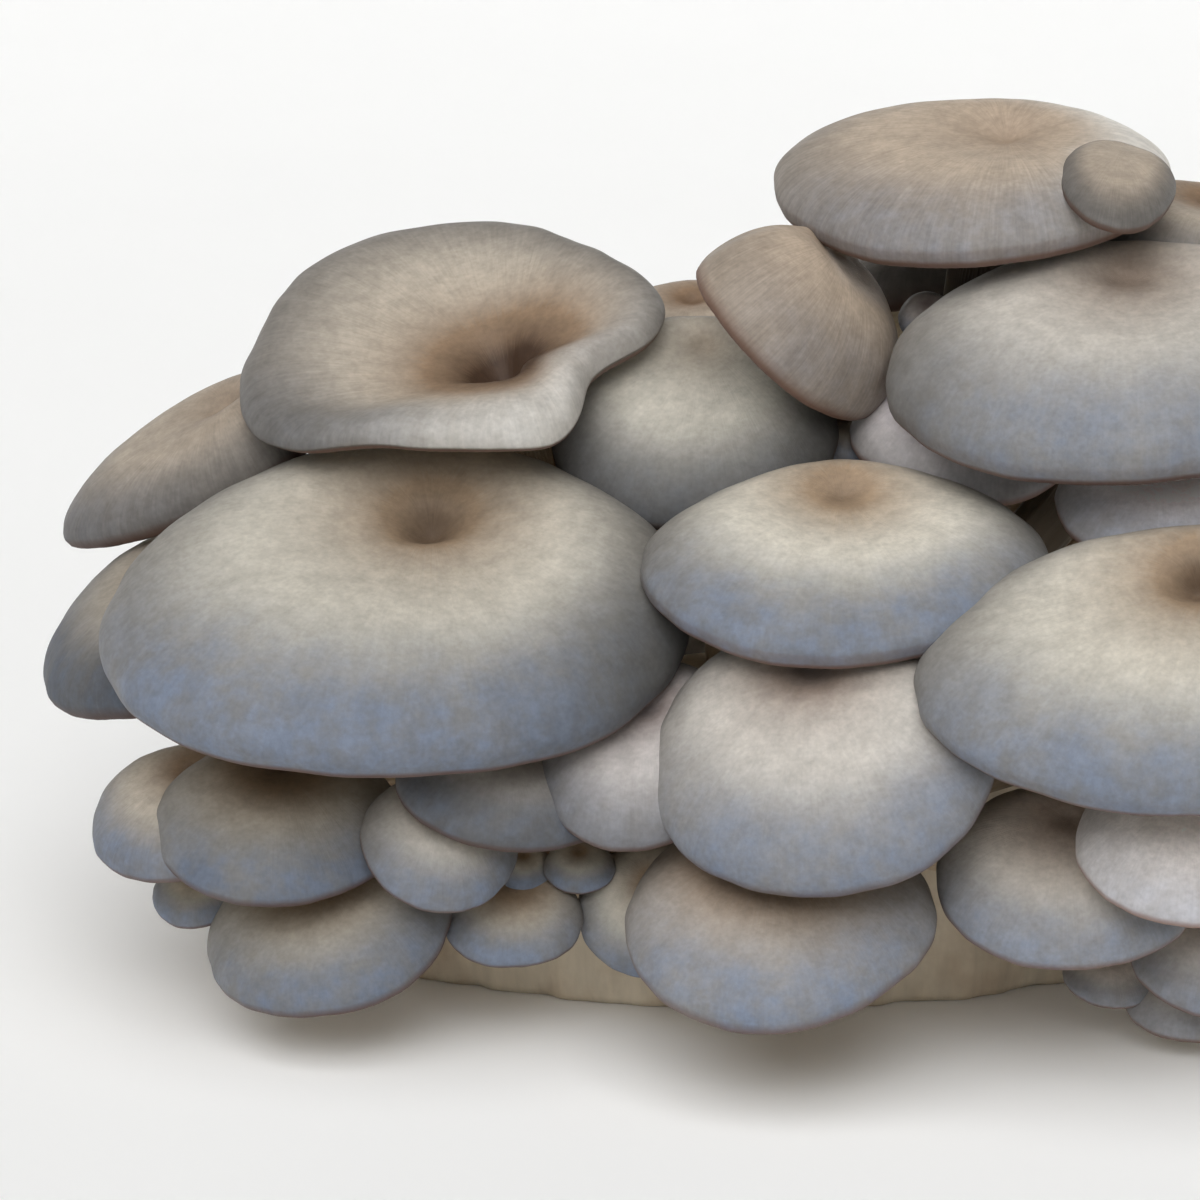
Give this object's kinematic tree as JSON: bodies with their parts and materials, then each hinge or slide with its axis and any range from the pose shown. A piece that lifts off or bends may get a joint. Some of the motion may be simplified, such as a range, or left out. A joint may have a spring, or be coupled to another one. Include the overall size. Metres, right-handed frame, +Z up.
{
  "type": "oyster mushroom cluster",
  "caption": "Dense cluster of grey oyster mushrooms with domed, dished caps, gills and stems grown together on one base, standing on its cut face.",
  "frame": {"origin": "middle of the flat face where the cluster was cut from what it grew on", "axes": "+Z up, -Z out of the cut face, +X along the cluster's widest side, -Y towards the front as pictured"},
  "size_m": [0.2852, 0.2074, 0.1677],
  "materials": {
    "mushroom_flesh": "matt grey-brown to blue-grey cap skin with fine radial fibres, cream gills and stem",
    "base_flesh": "matt cream, lumpy fused stem flesh"
  },
  "bodies": {
    "root": {"base": "base_flesh", "mushroom_giant": "mushroom_flesh", "mushroom_right_big": "mushroom_flesh", "mushroom_middle": "mushroom_flesh", "mushroom_right_upper": "mushroom_flesh", "mushroom_crown": "mushroom_flesh", "mushroom_centre_upper": "mushroom_flesh", "mushroom_left_upper": "mushroom_flesh", "mushroom_low_middle": "mushroom_flesh", "mushroom_front_middle": "mushroom_flesh", "mushroom_crown_left": "mushroom_flesh", "mushroom_left_under": "mushroom_flesh", "mushroom_left_floor": "mushroom_flesh", "mushroom_right_under": "mushroom_flesh", "mushroom_front_right": "mushroom_flesh", "mushroom_left_mid": "mushroom_flesh", "mushroom_left_back": "mushroom_flesh", "mushroom_crown_right": "mushroom_flesh", "mushroom_low_behind": "mushroom_flesh", "mushroom_pale_left": "mushroom_flesh", "mushroom_pale_right": "mushroom_flesh", "mushroom_left_fan": "mushroom_flesh", "mushroom_left_fan_b": "mushroom_flesh", "mushroom_left_under_b": "mushroom_flesh", "mushroom_front_middle_left": "mushroom_flesh", "mushroom_left_button": "mushroom_flesh", "mushroom_right_low": "mushroom_flesh", "mushroom_right_floor": "mushroom_flesh", "mushroom_right_tiny": "mushroom_flesh", "mushroom_left_tiny": "mushroom_flesh", "mushroom_button_b": "mushroom_flesh", "mushroom_button_c": "mushroom_flesh", "mushroom_gap_small": "mushroom_flesh", "mushroom_back_sliver": "mushroom_flesh", "mushroom_back_upper_left": "mushroom_flesh", "mushroom_back_upper_right": "mushroom_flesh", "mushroom_back_mid": "mushroom_flesh", "mushroom_back_mid_left": "mushroom_flesh", "mushroom_back_mid_right": "mushroom_flesh", "mushroom_back_low_left": "mushroom_flesh", "mushroom_back_low_right": "mushroom_flesh", "mushroom_back_low": "mushroom_flesh", "mushroom_right_end_mid": "mushroom_flesh", "mushroom_right_end_low": "mushroom_flesh", "mushroom_right_back_low": "mushroom_flesh", "mushroom_left_end_low": "mushroom_flesh"}
  },
  "joints": []
}
